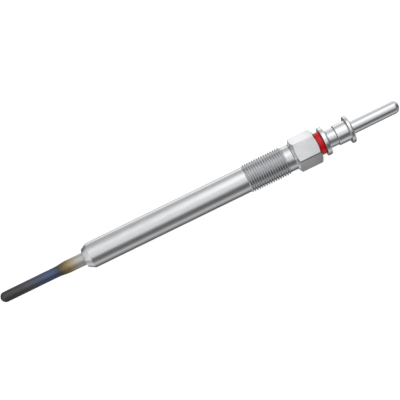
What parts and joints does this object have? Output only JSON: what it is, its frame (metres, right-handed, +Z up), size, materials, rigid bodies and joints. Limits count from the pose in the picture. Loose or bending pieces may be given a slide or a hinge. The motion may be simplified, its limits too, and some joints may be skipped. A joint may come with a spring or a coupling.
{
  "type": "diesel glow plug",
  "caption": "Metal-sheathed diesel glow plug: slim glow tube, round housing with sealing cone, fine thread and hexagon, red insulating ring and round connector pin.",
  "frame": {"origin": "on the plug's axis, where the sealing cone at the nose meets the round shank", "axes": "+X along the plug's axis towards the connector pin, -X towards the glow tip; -Z and +Z are square to two of the hexagon's flats, so the plug lies on a flat with +Z up"},
  "size_m": [0.1464, 0.0122, 0.0108],
  "materials": {
    "plated_steel": "satin nickel-plated turned steel",
    "sheath_alloy": "heat-resistant alloy tube with heat tint, dark at the tip",
    "coil_wire": "drawn resistance wire",
    "magnesia": "compacted powder",
    "seal_rubber": "matte",
    "rod_steel": "drawn steel",
    "red_insulator": "moulded, slightly glossy",
    "terminal_steel": "bright nickel-plated turned steel"
  },
  "bodies": {
    "root": {"housing": "plated_steel", "glow_tube": "sheath_alloy", "heating_coil": "coil_wire", "control_coil": "coil_wire", "magnesia_filling": "magnesia", "tube_seal": "seal_rubber", "connecting_rod": "rod_steel", "bore_seal": "seal_rubber", "insulating_washer": "red_insulator", "terminal": "terminal_steel"}
  },
  "joints": []
}
